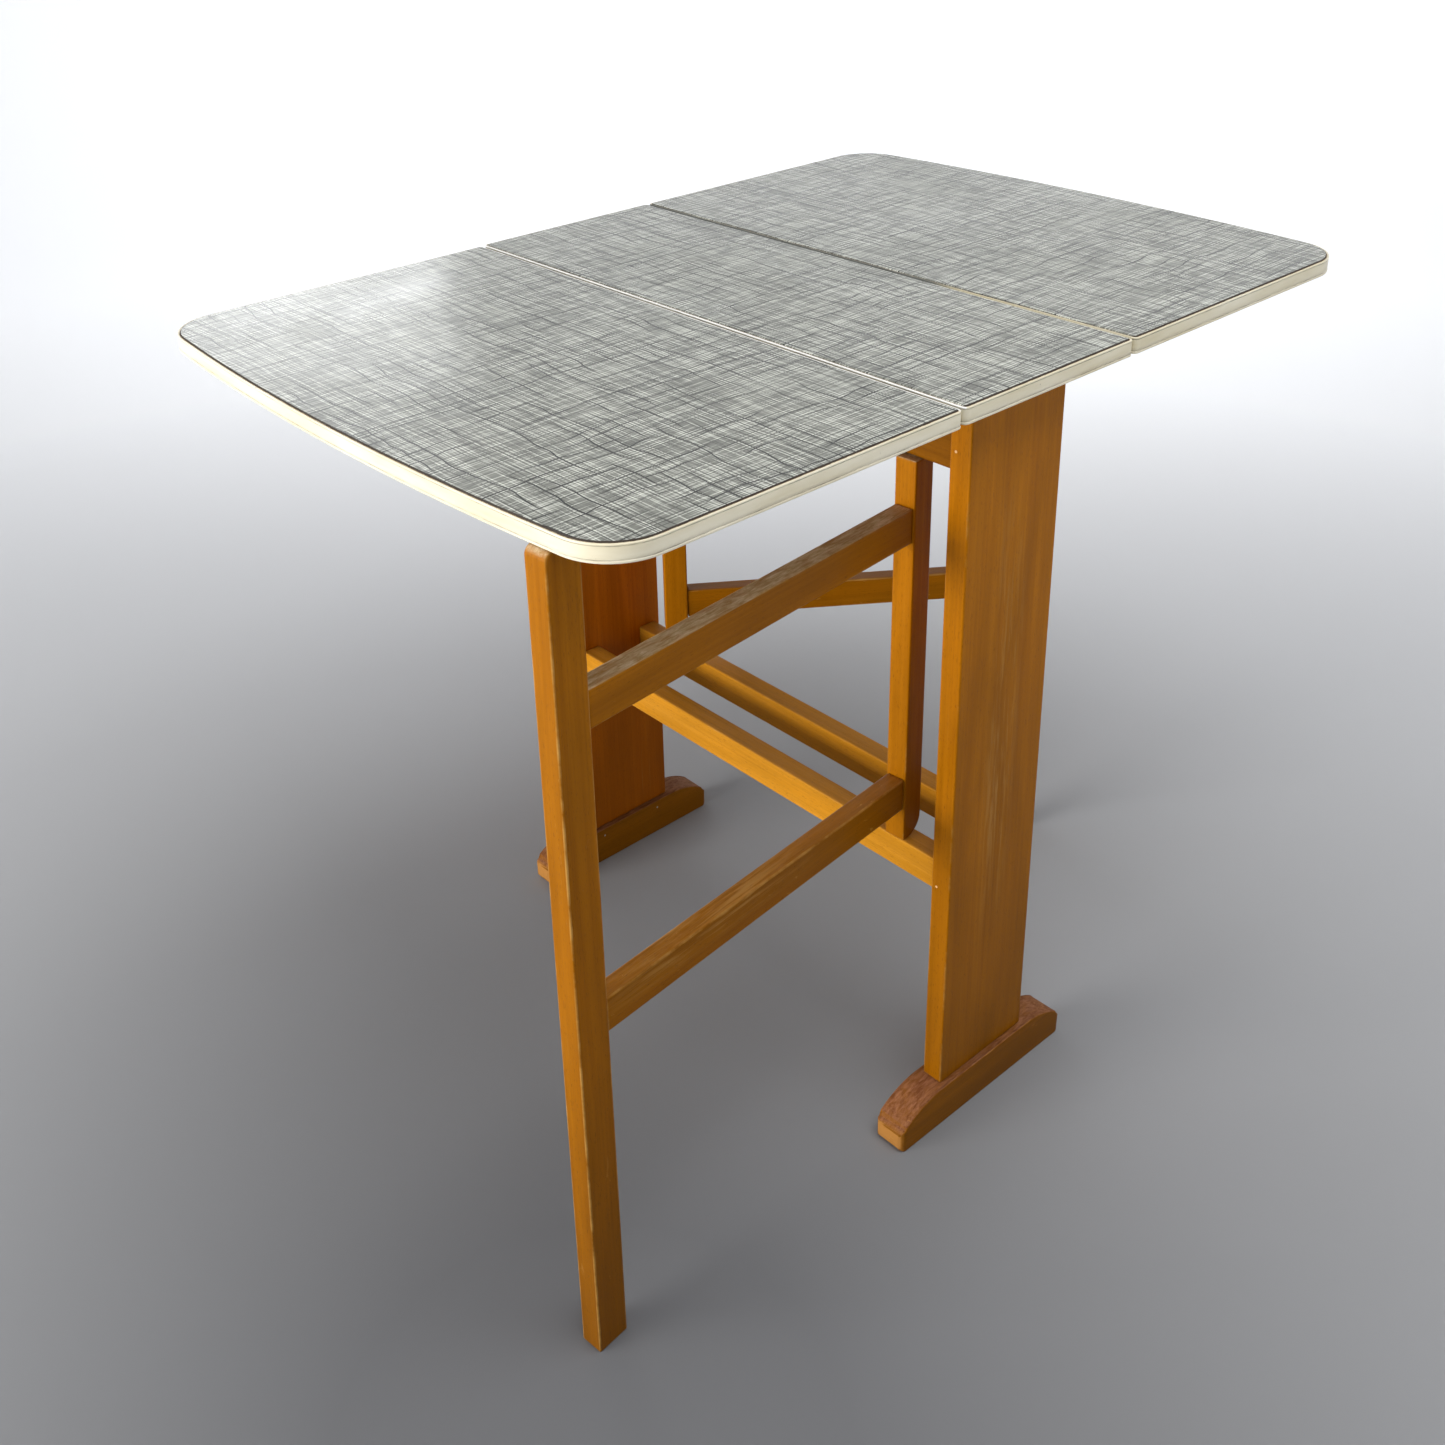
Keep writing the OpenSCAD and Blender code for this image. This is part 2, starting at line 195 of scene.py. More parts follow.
def buildGrainGroup():
    # grain runs along X of the vector that comes in
    tree, inputs, outputs = startGroup(
        "woodGrain", [("Vector", "NodeSocketVector", None)],
        [("Streak", "NodeSocketFloat"), ("Tone", "NodeSocketFloat"), ("Fleck", "NodeSocketFloat")])
    vector = inputs.outputs["Vector"]
    fine = stretchedNoise(tree, vector, (5, 420, 420), 3, 0.6, 0.3)
    wide = stretchedNoise(tree, vector, (1.6, 70, 70), 4, 0.55, 0.6, (3, 7, 1))
    streak = mathNode(tree, "ADD", mathNode(tree, "MULTIPLY", fine, 0.45),
                      mathNode(tree, "MULTIPLY", wide, 0.55))
    tree.links.new(streak, outputs.inputs["Streak"])
    tone = stretchedNoise(tree, vector, (3.2, 22, 22), 4, 0.6, 0.5, (9, 2, 5))
    tree.links.new(tone, outputs.inputs["Tone"])
    dashes = stretchedNoise(tree, vector, (190, 1500, 1500), 1, 0.5, 0, (1, 1, 4))
    tree.links.new(remap(tree, dashes, 0.62, 0.72), outputs.inputs["Fleck"])
    return tree


def buildWearGroup():
    # Edge is 1 on a rounded edge and 0 on a flat face: noise eats into it unevenly
    tree, inputs, outputs = startGroup(
        "edgeWear", [("Vector", "NodeSocketVector", None), ("Edge", "NodeSocketFloat", 0.0),
                     ("Amount", "NodeSocketFloat", 0.5)],
        [("Worn", "NodeSocketFloat"), ("Chip", "NodeSocketFloat")])
    vector = inputs.outputs["Vector"]
    rough = stretchedNoise(tree, vector, (55, 55, 55), 5, 0.65)
    patch = stretchedNoise(tree, vector, (11, 11, 11), 3, 0.55, 0, (4, 4, 4))
    push = mathNode(tree, "MULTIPLY", inputs.outputs["Amount"], mathNode(tree, "ADD", rough, patch))
    eaten = mathNode(tree, "MULTIPLY", inputs.outputs["Edge"], push)
    tree.links.new(remap(tree, eaten, 0.50, 0.72), outputs.inputs["Worn"])
    spots = stretchedNoise(tree, vector, (38, 120, 120), 4, 0.7, 0.8, (2, 8, 6))
    spots = mathNode(tree, "ADD", spots, mathNode(tree, "MULTIPLY", patch, 0.25))
    tree.links.new(remap(tree, spots, 0.80, 0.83), outputs.inputs["Chip"])
    return tree


def buildScratchGroup():
    # long faint scratches along X of the vector, in a few places only
    tree, inputs, outputs = startGroup(
        "scratches", [("Vector", "NodeSocketVector", None)], [("Mask", "NodeSocketFloat")])
    vector = inputs.outputs["Vector"]
    long = remap(tree, stretchedNoise(tree, vector, (7, 380, 380), 2, 0.5, 0.2, (6, 1, 2)), 0.66, 0.74)
    where = remap(tree, stretchedNoise(tree, vector, (5, 18, 18), 2, 0.5, 0, (7, 3, 3)), 0.52, 0.66)
    tree.links.new(mathNode(tree, "MULTIPLY", long, where), outputs.inputs["Mask"])
    return tree


def buildDustGroup():
    # Mask is high on surfaces that face up, broken by noise
    tree, inputs, outputs = startGroup(
        "settledDust", [("Vector", "NodeSocketVector", None)], [("Mask", "NodeSocketFloat")])
    facing = tree.nodes.new("ShaderNodeNewGeometry")
    parts = tree.nodes.new("ShaderNodeSeparateXYZ")
    tree.links.new(facing.outputs["Normal"], parts.inputs[0])
    up = remap(tree, parts.outputs["Z"], 0.35, 0.75)
    cloud = stretchedNoise(tree, inputs.outputs["Vector"], (40, 130, 130), 5, 0.7, 0.4, (5, 5, 5))
    broken = remap(tree, cloud, 0.30, 0.56, 0.45, 1.0)
    tree.links.new(mathNode(tree, "MULTIPLY", up, broken), outputs.inputs["Mask"])
    return tree


grainGroup = buildGrainGroup()
wearGroup = buildWearGroup()
scratchGroup = buildScratchGroup()
dustGroup = buildDustGroup()
print("shared effects built")


# lacquered beech

beechLook = {
    "dark": (0.285, 0.090, 0.0005),
    "mid": (0.380, 0.126, 0.001),
    "light": (0.460, 0.166, 0.004),
    "fleck": (0.160, 0.048, 0.001),
    "bare": (0.500, 0.270, 0.070),
    # real dust on up-facing surfaces, painted paler as painted light on tops that lie in shade
    "dustAndPaintedLight": (0.720, 0.570, 0.370),
    "darkDustAndPaintedLight": (0.420, 0.280, 0.120),
    "shine": (1.0, 0.60, 0.25),
    "roughness": 0.36,
    "specular": 0.12,
    # painted shade: these darken the wood towards the floor and lift it near the top
    "paintedShadeLow": 0.54, "paintedShadeHigh": 1.05, "paintedShadeTop": 0.7,  # the wood darkens towards the floor
}
grainTurns = {"X": (0, 0, 0), "Y": (0, 0, math.radians(90)), "Z": (0, math.radians(90), 0)}


def zoneMask(tree, zone):
    # 1 inside a box given as (axis, from, to) spans in metres, fading out over its rims
    coords = tree.nodes.new("ShaderNodeTexCoord")
    parts = tree.nodes.new("ShaderNodeSeparateXYZ")
    tree.links.new(coords.outputs["Object"], parts.inputs[0])
    mask = None
    for axis, start, end in zone:
        away = mathNode(tree, "ABSOLUTE", mathNode(tree, "SUBTRACT", parts.outputs[axis], (start + end) / 2))
        half = (end - start) / 2
        span = remap(tree, away, half, half * 0.4)
        mask = span if mask is None else mathNode(tree, "MULTIPLY", mask, span)
    return mask


def makeBeech(name, along, shift, wear, tint, dusty, scratched, chips=0.0, look=beechLook, scuffZone=None):
    # along is the axis of the grain, or its heading in radians; tint, a factor or one factor a channel, is
    # painted light and shade that makes each part's beech brighter or darker
    turn = grainTurns[along] if isinstance(along, str) else (0, 0, along)
    material, tree, shader = startMaterial(name, look["roughness"], specular=look["specular"],
                                           shineTint=look["shine"])
    vector = objectCoords(tree, turn, shift)
    grain = placeGroup(tree, grainGroup, links={"Vector": vector})
    base = mixColour(tree, remap(tree, grain.outputs["Streak"], 0.32, 0.66), look["dark"], look["light"])
    base = mixColour(tree, 0.35, base, look["mid"])
    cloud = remap(tree, grain.outputs["Tone"], 0.3, 0.7, 0.72, 1.14)
    base = mixColour(tree, 1.0, base, cloud, "MULTIPLY")
    base = mixColour(tree, mathNode(tree, "MULTIPLY", grain.outputs["Fleck"], 0.55), base, look["fleck"])
    # painted light and shade: the tint lifts or darkens this part's colour
    base = mixColour(tree, 1.0, base, tint if isinstance(tint, tuple) else (tint,) * 3, "MULTIPLY")
    # painted shade: the wood is darkened low down and lifted near the top, by height alone
    ground = tree.nodes.new("ShaderNodeTexCoord")
    height = tree.nodes.new("ShaderNodeSeparateXYZ")
    tree.links.new(ground.outputs["Object"], height.inputs[0])
    tone = remap(tree, height.outputs["Z"], 0.0, look["paintedShadeTop"], look["paintedShadeLow"], look["paintedShadeHigh"])
    base = mixColour(tree, 1.0, base, tone, "MULTIPLY")
    marks = placeGroup(tree, scratchGroup, links={"Vector": vector})
    scratch = mathNode(tree, "MULTIPLY", marks.outputs["Mask"], scratched)
    if scuffZone:
        rubbed = stretchedNoise(tree, vector, (14, 260, 260), 4, 0.65, 0.3, (8, 8, 1))
        rubbed = remap(tree, rubbed, 0.48, 0.62)
        rubbed = mathNode(tree, "MULTIPLY", rubbed, zoneMask(tree, scuffZone))
        scratch = mathNode(tree, "MAXIMUM", scratch, mathNode(tree, "MULTIPLY", rubbed, 0.4))
    base = mixColour(tree, scratch, base, look["bare"])
    dustAndPaintedLight = placeGroup(tree, dustGroup, links={"Vector": vector})
    dustMask = mathNode(tree, "MULTIPLY", dustAndPaintedLight.outputs["Mask"], dusty)
    mottle = remap(tree, stretchedNoise(tree, vector, (60, 330, 330), 5, 0.72, 0.6, (1, 6, 3)), 0.38, 0.64)
    # real dust, painted paler as painted light on shaded tops
    base = mixColour(tree, dustMask, base, mixColour(tree, mottle, look["darkDustAndPaintedLight"], look["dustAndPaintedLight"]))
    edge = addNode(tree, "ShaderNodeAttribute", attribute_name="edge")
    worn = placeGroup(tree, wearGroup, {"Amount": wear}, {"Vector": vector, "Edge": edge.outputs["Fac"]})
    wornMask = worn.outputs["Worn"]
    if chips > 0:
        chipMask = mathNode(tree, "MULTIPLY", worn.outputs["Chip"], chips)
        wornMask = mathNode(tree, "MAXIMUM", wornMask, chipMask)
    base = mixColour(tree, mathNode(tree, "MULTIPLY", wornMask, 0.8), base, look["bare"])
    tree.links.new(base, shader.inputs["Base Color"])
    rough = mathNode(tree, "ADD", mathNode(tree, "MULTIPLY", grain.outputs["Streak"], 0.16),
                     mathNode(tree, "MULTIPLY", mathNode(tree, "MAXIMUM", dustMask, wornMask), 0.34))
    rough = mathNode(tree, "ADD", rough, look["roughness"] - 0.08, clamp=True)
    tree.links.new(rough, shader.inputs["Roughness"])
    height = mathNode(tree, "SUBTRACT", grain.outputs["Streak"],
                      mathNode(tree, "ADD", mathNode(tree, "MULTIPLY", grain.outputs["Fleck"], 0.3),
                               mathNode(tree, "MULTIPLY", wornMask, 0.8)))
    bumpFrom(tree, shader, height, 0.35, 0.0004)
    return material


footLook = dict(beechLook, dustAndPaintedLight=(0.300, 0.130, 0.062), darkDustAndPaintedLight=(0.150, 0.050, 0.018),
                bare=(0.470, 0.215, 0.055), roughness=0.42)

headings = {"near": math.radians(180 + 95.4), "far": math.radians(53.8)}

# painted light and shade in the tints: the left board, the stretchers and the posts are lifted out of their
# shade, and the aprons are darkened
beech = {
    "rightBoard": makeBeech("beechRightBoard", "Z", (0.3, 0.1, 0), wear=0.5, tint=1.18, dusty=0.5,
                            scratched=0.12, chips=0.05,
                            scuffZone=(("X", 0.27, 0.28), ("Y", -0.022, 0.026), ("Z", 0.17, 0.66))),
    "leftBoard": makeBeech("beechLeftBoard", "Z", (1.7, 0.9, 0.4), wear=0.5, tint=(1.52, 1.15, 1.0),
                           dusty=0.5, scratched=0.25),
    "stretchers": makeBeech("beechStretchers", "X", (0.2, 0.5, 0.9), wear=0.5, tint=(1.95, 2.40, 10.0),
                            dusty=0.05, scratched=0.3),
    "aprons": makeBeech("beechAprons", "X", (2.2, 1.5, 0.2), wear=0.35, tint=0.54, dusty=0.5, scratched=0.1),
    "feet": makeBeech("beechFeet", "Y", (0.5, 0.2, 0.7), wear=0.5, tint=1.12, dusty=0.97, scratched=0.35,
                      chips=0.5, look=footLook),
    "blocks": makeBeech("beechBlocks", "Y", (0.1, 2.2, 0.7), wear=0.2, tint=0.85, dusty=0.3, scratched=0.0),
}
for side in ("near", "far"):
    spot = (0.4, 0.8, 1.3) if side == "near" else (2.4, 1.8, 0.3)
    beech[side + "Post"] = makeBeech("beechPost_" + side, "Z", spot, wear=0.45, tint=1.16, dusty=0.7,
                                     scratched=0.15)
    beech[side + "Leg"] = makeBeech("beechLeg_" + side, "Z", (spot[1], spot[0], 0.2), wear=0.6, tint=1.0,
                                    dusty=0.8, scratched=0.3, chips=0.35)
    for level, dusty, chips, rubbed in (("Upper", 0.95, 0.3, None),
                                        ("Lower", 0.05, 0.6, (("Y", -0.43, -0.17), ("Z", 0.326, 0.356)))):
        beech[side + level + "Rail"] = makeBeech("beechRail" + level + "_" + side, headings[side],
                                                 (0.7, spot[0], 0.6), wear=0.55, tint=0.92, dusty=dusty,
                                                 scratched=0.3, chips=chips, scuffZone=rubbed)
print("beech finishes made")


# wooden pieces

woodWork = {"skin": 0.12 * mm, "edgeRound": 1.3 * mm, "edgeSteps": 3, "wearBand": 1.6 * mm}


def smoothRegions(bm, maxAngle=12):
    # groups of faces that meet at less than the given angle
    left = set(bm.faces)
    regions = []
    while left:
        region, edge = [], [left.pop()]
        while edge:
            face = edge.pop()
            region.append(face)
            for link in face.edges:
                if len(link.link_faces) == 2 and link.calc_face_angle(0) < math.radians(maxAngle):
                    for other in link.link_faces:
                        if other in left:
                            left.discard(other)
                            edge.append(other)
        regions.append(sorted(region, key=lambda f: f.index))
    return sorted(regions, key=lambda r: r[0].index)


def markEdges(bm, band):
    # flat faces keep 0 in their middle, the rounded edges and a narrow band beside them run up to 1
    layer = floatLayer(bm, "edge")
    for vert in bm.verts:
        vert[layer] = 1.0
    bm.faces.index_update()
    for region in smoothRegions(bm):
        area = sum(f.calc_area() for f in region)
        rim = sum(e.calc_length() for f in region for e in f.edges
                  if len([g for g in e.link_faces if g in region]) == 1)
        if area / rim < 1.4 * band:
            continue
        bmesh.ops.inset_region(bm, faces=region, thickness=band, use_boundary=True, use_even_offset=True)
        for face in region:
            for vert in face.verts:
                vert[layer] = 0.0


def roundEdges(bm, width, steps, minAngle=30):
    edges = [e for e in bm.edges if len(e.link_faces) == 2 and e.calc_face_angle(0) > math.radians(minAngle)]
    bmesh.ops.bevel(bm, geom=edges, offset=width, offset_type="OFFSET", affect="EDGES", segments=steps,
                    profile=0.5, material=-1, clamp_overlap=True)


def stick(low, high):
    skin = Vector((woodWork["skin"],) * 3)
    low, high = Vector(low) + skin, Vector(high) - skin
    bm = bmesh.new()
    bmesh.ops.create_cube(bm, size=1.0)
    size = [h - l for l, h in zip(low, high)]
    bmesh.ops.scale(bm, vec=size, verts=bm.verts)
    bmesh.ops.translate(bm, vec=[(l + h) / 2 for l, h in zip(low, high)], verts=bm.verts)
    return bm


def softenEnd(bm, test, width, steps):
    edges = [e for e in bm.edges if test((e.verts[0].co + e.verts[1].co) / 2, e)]
    bmesh.ops.bevel(bm, geom=edges, offset=width, offset_type="OFFSET", affect="EDGES", segments=steps,
                    profile=0.5, material=-1, clamp_overlap=True)


def finishStick(bm, name, body, node, material, place=None, bareEnd=None):
    roundEdges(bm, woodWork["edgeRound"], woodWork["edgeSteps"])
    markEdges(bm, woodWork["wearBand"])
    if bareEnd:
        layer = floatLayer(bm, "edge")
        for vert in bm.verts:
            if abs(vert.co.y) > bareEnd:
                vert[layer] = trestleLook["noseWear"]
    if place is not None:
        bmesh.ops.transform(bm, matrix=place, verts=bm.verts)
    return newPiece(name, bm, body, [node], [material], 32)


trestleLook = {"footFlatPastBoard": 3 * mm, "footEndHeight": 22 * mm, "footSlices": 8, "noseRound": 6 * mm,
               "noseSteps": 4, "noseWear": 1.5}


def makeEndBoard(side):
    low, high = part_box(side + "_end_board")
    low.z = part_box(side + "_foot")[1].z
    finishStick(stick(low, high), side + "Board", "trestle", side + "_end_board",
                beech[side + "Board"])


def makeFoot(side):
    low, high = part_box(side + "_foot")
    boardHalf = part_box(side + "_end_board")[1].y
    flat = boardHalf + trestleLook["footFlatPastBoard"]
    endHeight = trestleLook["footEndHeight"]
    run = high.y - flat
    drop = high.z - endHeight
    radius = (run * run + drop * drop) / (2 * drop)
    bm = stick(low, high)
    for sign in (-1, 1):
        for step in range(trestleLook["footSlices"]):
            y = sign * (flat + run * step / trestleLook["footSlices"])
            bmesh.ops.bisect_plane(bm, geom=bm.verts[:] + bm.edges[:] + bm.faces[:], plane_co=(0, y, 0),
                                   plane_no=(0, 1, 0))
    for vert in bm.verts:
        past = abs(vert.co.y) - flat
        if past > 0 and vert.co.z > endHeight:
            vert.co.z = high.z - (radius - math.sqrt(radius * radius - past * past))
    # the nose is rounded round its end face, upright edges and bottom edge alike
    softenEnd(bm, lambda mid, e: min(abs(v.co.y) for v in e.verts) > high.y - 1 * mm,
              trestleLook["noseRound"], trestleLook["noseSteps"])
    finishStick(bm, side + "Foot", "trestle", side + "_foot", beech["feet"],
                bareEnd=high.y - 1 * mm)


def makeLongRail(side, kind, material):
    low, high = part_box(side + "_" + kind)
    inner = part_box("right_end_board")[0].x
    low.x, high.x = -inner, inner
    finishStick(stick(low, high), side + kind.capitalize(), "trestle", side + "_" + kind,
                material)


for side in ("right", "left"):
    makeEndBoard(side)
    makeFoot(side)
for side in ("near", "far"):
    makeLongRail(side, "stretcher", beech["stretchers"])
    makeLongRail(side, "apron", beech["aprons"])
print("trestle made")


# gates: drawn along +X from the pivot, then turned to their heading

gateLook = {
    "thickness": 21 * mm, "railThickness": 18 * mm, "postDepth": 25 * mm, "postFront": 14.5 * mm,
    "heelRound": 18 * mm, "reach": 414 * mm, "legDepth": 31 * mm, "legCrown": 7 * mm, "roundSteps": 9,
}


def makeGate(side):
    look = gateLook
    pivot = Vector(joints[side + "_gate_swing"]["pos_m"])
    pivot.z = 0
    place = Matrix.Translation(pivot) @ Matrix.Rotation(headings[side], 4, "Z")
    body = side + "_gate"
    half = look["thickness"] / 2
    legStart = look["reach"] - look["legDepth"]

    low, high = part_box(body + "_post")
    back = look["postFront"] - look["postDepth"]
    bm = stick((back, -half, low.z), (look["postFront"], half, high.z))
    softenEnd(bm, lambda mid, e: mid.x < back + 1 * mm and mid.z < low.z + 1 * mm, look["heelRound"],
              look["roundSteps"])
    finishStick(bm, side + "GatePost", body, body + "_post", beech[side + "Post"], place)

    low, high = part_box(body + "_leg")
    bm = stick((legStart, -half, low.z), (look["reach"], half, high.z))
    softenEnd(bm, lambda mid, e: mid.x > look["reach"] - 1 * mm and mid.z > high.z - 1 * mm,
              look["legCrown"], look["roundSteps"])
    finishStick(bm, side + "GateLeg", body, body + "_leg", beech[side + "Leg"], place)

    half = look["railThickness"] / 2
    for level in ("upper", "lower"):
        node = body + "_" + level + "_rail"
        low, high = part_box(node)
        bm = stick((look["postFront"], -half, low.z), (legStart, half, high.z))
        finishStick(bm, side + "Gate" + level.capitalize() + "Rail", body, node,
                    beech[side + level.capitalize() + "Rail"], place)


for side in ("near", "far"):
    makeGate(side)
print("gates made")


# outlines of the three panels, swept round by extruding a profile

panelLook = {"leafCorner": 48 * mm, "seamCorner": 5 * mm, "bow": 17 * mm, "cornerSteps": 14, "bowSteps": 36,
             "seamSteps": 6, "runSteps": 20}


def panelPath(kind):
    # start point of the outline and the moves that lead round it, counter-clockwise
    look = panelLook
    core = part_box("centre_edging" if kind == "centre" else "far_leaf_edging")
    halfX = core[1].x
    seam = look["seamCorner"]
    seamX = halfX - seam
    quarter = math.radians(90)
    if kind == "centre":
        halfY = core[1].y
        seamY = halfY - seam
        moves = []
        corners = ((seamX, seamY), (-seamX, seamY), (-seamX, -seamY), (seamX, -seamY))
        runs = ((0, 2 * seamY), (-2 * seamX, 0), (0, -2 * seamY), (2 * seamX, 0))
        for run, corner in zip(runs, corners):
            moves.append(("line", Vector((*run, 0)), 0, look["runSteps"]))
            moves.append(("turn", Vector((*corner, 0)), quarter, look["seamSteps"]))
        return Vector((halfX, -seamY, 0)), moves
    depth = core[1].y - core[0].y
    radius = (halfX ** 2 + look["bow"] ** 2) / (2 * look["bow"])
    bowCentre = Vector((0, depth - radius, 0))
    cornerX = halfX - look["leafCorner"]
    cornerY = bowCentre.y + math.sqrt((radius - look["leafCorner"]) ** 2 - cornerX ** 2)
    swing = math.atan2(cornerY - bowCentre.y, cornerX)
    moves = [
        ("line", Vector((0, cornerY - seam, 0)), 0, 1),
        ("turn", Vector((cornerX, cornerY, 0)), swing, look["cornerSteps"]),
        ("turn", bowCentre, math.pi - 2 * swing, look["bowSteps"]),
        ("turn", Vector((-cornerX, cornerY, 0)), swing, look["cornerSteps"]),
        ("line", Vector((0, seam - cornerY, 0)), 0, 1),
        ("turn", Vector((-seamX, seam, 0)), quarter, look["seamSteps"]),
        ("line", Vector((2 * seamX, 0, 0)), 0, look["runSteps"]),
        ("turn", Vector((seamX, seam, 0)), quarter, look["seamSteps"]),
    ]
    return Vector((halfX, seam, 0)), moves


def sweepRound(kind, profile, closed):
    # profile points are (outwards, up) from the outline's outer face
    start, moves = panelPath(kind)
    bm = bmesh.new()
    verts = [bm.verts.new(start + Vector((out, 0, up))) for out, up in profile]
    pairs = list(zip(verts, verts[1:])) + ([(verts[-1], verts[0])] if closed else [])
    edges = [bm.edges.new(pair) for pair in pairs]
    for move, where, angle, steps in moves:
        for _ in range(steps):
            made = bmesh.ops.extrude_edge_only(bm, edges=edges)["geom"]
            edges = [g for g in made if isinstance(g, bmesh.types.BMEdge)
                     and all(v in made for v in g.verts)]
            ring = [g for g in made if isinstance(g, bmesh.types.BMVert)]
            if move == "line":
                bmesh.ops.translate(bm, vec=where / steps, verts=ring)
            else:
                bmesh.ops.rotate(bm, cent=where, matrix=Matrix.Rotation(angle / steps, 3, "Z"), verts=ring)
    bmesh.ops.remove_doubles(bm, verts=bm.verts, dist=0.01 * mm)
    return bm


def panelPlace(kind):
    if kind == "centre":
        return Matrix.Identity(4)
    low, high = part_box(kind + "_leaf_edging")
    if kind == "near":
        return Matrix.Translation((0, high.y, 0)) @ Matrix.Rotation(math.pi, 4, "Z")
    return Matrix.Translation((0, low.y, 0))


edgingLook = {
    # outwards and up from the strip's lowest outer corner, in mm
    "profile": ((-2.0, 0.0), (-0.9, 0.0), (-0.25, 0.3), (0.0, 1.1), (-0.1, 1.9), (-0.5, 2.25), (-0.55, 2.6),
                (-0.3, 3.0), (-0.22, 5.0), (-0.2, 7.5), (-0.22, 10.0), (-0.3, 12.0), (-0.55, 12.3),
                (-0.55, 12.6), (-0.12, 12.95), (0.0, 13.3), (-0.12, 13.85), (-0.5, 14.25), (-0.9, 14.35),
                (-1.3, 14.2), (-2.0, 13.6)),
    "inset": 0.02,
    "light": (0.85, 0.79, 0.62),
    "aged": (0.72, 0.64, 0.43),
    # painted light along the near seam
    "paintedSeamLight": (0.93, 0.92, 0.88),
    "dirt": (0.16, 0.13, 0.09),
    "farSeamGrey": (0.19, 0.195, 0.175),
}


def makeEdgingMaterial():
    look = edgingLook
    material, tree, shader = startMaterial("creamEdging", 0.38, 0.1, 0.25)
    vector = objectCoords(tree)
    aged = remap(tree, stretchedNoise(tree, vector, (9, 9, 60), 4, 0.6), 0.35, 0.7)
    base = mixColour(tree, aged, look["light"], look["aged"])
    groove = addNode(tree, "ShaderNodeAttribute", attribute_name="groove")
    smear = remap(tree, stretchedNoise(tree, vector, (30, 30, 90), 5, 0.7, 0.3, (3, 1, 2)), 0.35, 0.62)
    dirt = mathNode(tree, "MULTIPLY", groove.outputs["Fac"], mathNode(tree, "MULTIPLY", smear, 0.75))
    specks = remap(tree, stretchedNoise(tree, vector, (130, 130, 130), 3, 0.6, 0, (7, 7, 7)), 0.70, 0.75)
    near = remap(tree, stretchedNoise(tree, vector, (14, 14, 14), 2, 0.5, 0, (1, 5, 9)), 0.5, 0.62)
    specks = mathNode(tree, "MULTIPLY", mathNode(tree, "MULTIPLY", specks, near), 0.5)
    dirt = mathNode(tree, "MAXIMUM", dirt, specks)
    base = mixColour(tree, dirt, base, look["dirt"])
    # painted light: the near seam is painted a pale near-white
    paintedSeamLight = addNode(tree, "ShaderNodeAttribute", attribute_name="paintedSeamLight")
    base = mixColour(tree, paintedSeamLight.outputs["Fac"], base, look["paintedSeamLight"])
    # the far seam is painted a darker grey but for its right end
    seam = addNode(tree, "ShaderNodeAttribute", attribute_name="seam")
    base = mixColour(tree, seam.outputs["Fac"], base, look["farSeamGrey"])
    tree.links.new(base, shader.inputs["Base Color"])
    tree.links.new(remap(tree, dirt, 0.0, 0.6, 0.34, 0.6), shader.inputs["Roughness"])
    bumpFrom(tree, shader, stretchedNoise(tree, vector, (40, 40, 200), 3), 0.12, 0.0005)
    return material


def makeEdging(kind, material):
    node = "centre_edging" if kind == "centre" else kind + "_leaf_edging"
    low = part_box(node)[0]
    profile = [((out - edgingLook["inset"]) * mm, up * mm + low.z) for out, up in edgingLook["profile"]]
    bm = sweepRound(kind, profile, True)
    layer = floatLayer(bm, "groove")
    for vert in bm.verts:
        up = (vert.co.z - low.z) / mm
        vert[layer] = 1.0 if 2.0 < up < 2.8 or 12.2 < up < 12.8 else 0.0
    bmesh.ops.transform(bm, matrix=panelPlace(kind), verts=bm.verts)
    bmesh.ops.recalc_face_normals(bm, faces=bm.faces)
    # the near seam is painted a pale near-white as painted light; the far seam is painted a darker grey but
    # for its right end
    seamY = joints["far_leaf_lift"]["pos_m"][1]
    seam, paintedSeamLight = floatLayer(bm, "seam"), floatLayer(bm, "paintedSeamLight")
    for vert in bm.verts:
        close = abs(abs(vert.co.y) - seamY) < 3.5 * mm and vert.co.z > low.z + 12.7 * mm
        vert[seam] = 1.0 if close and vert.co.y > 0 and vert.co.x < 0.1 else 0.0
        vert[paintedSeamLight] = 1.0 if close and vert.co.y < 0 else 0.0
    body = "trestle" if kind == "centre" else kind + "_leaf"
    return newPiece(kind + "Edging", bm, body, [node], [material], 35)


# the printed laminate

laminateLook = {
    "ground": (0.240, 0.244, 0.210),
    "pale": (0.830, 0.845, 0.750),
    "shade": (0.070, 0.072, 0.062),
    "thread": (0.010, 0.010, 0.008),
    "edge": (0.020, 0.014, 0.010),
    "edgeWarm": (0.05, 0.035, 0.025),
    "edgeBevel": 0.92 * mm,
    "roughness": 0.22,
    # thread spacing and width, run length, how often it shows, and how far it wanders, in metres
    "paleThreads": (0.0030, 0.0014, 0.040, (0.40, 0.56), 0.0015),
    "darkThreads": (0.0040, 0.0014, 0.060, (0.43, 0.57), 0.0024),
    "boldThreads": (0.0150, 0.0017, 0.095, (0.43, 0.53), 0.0060),
}


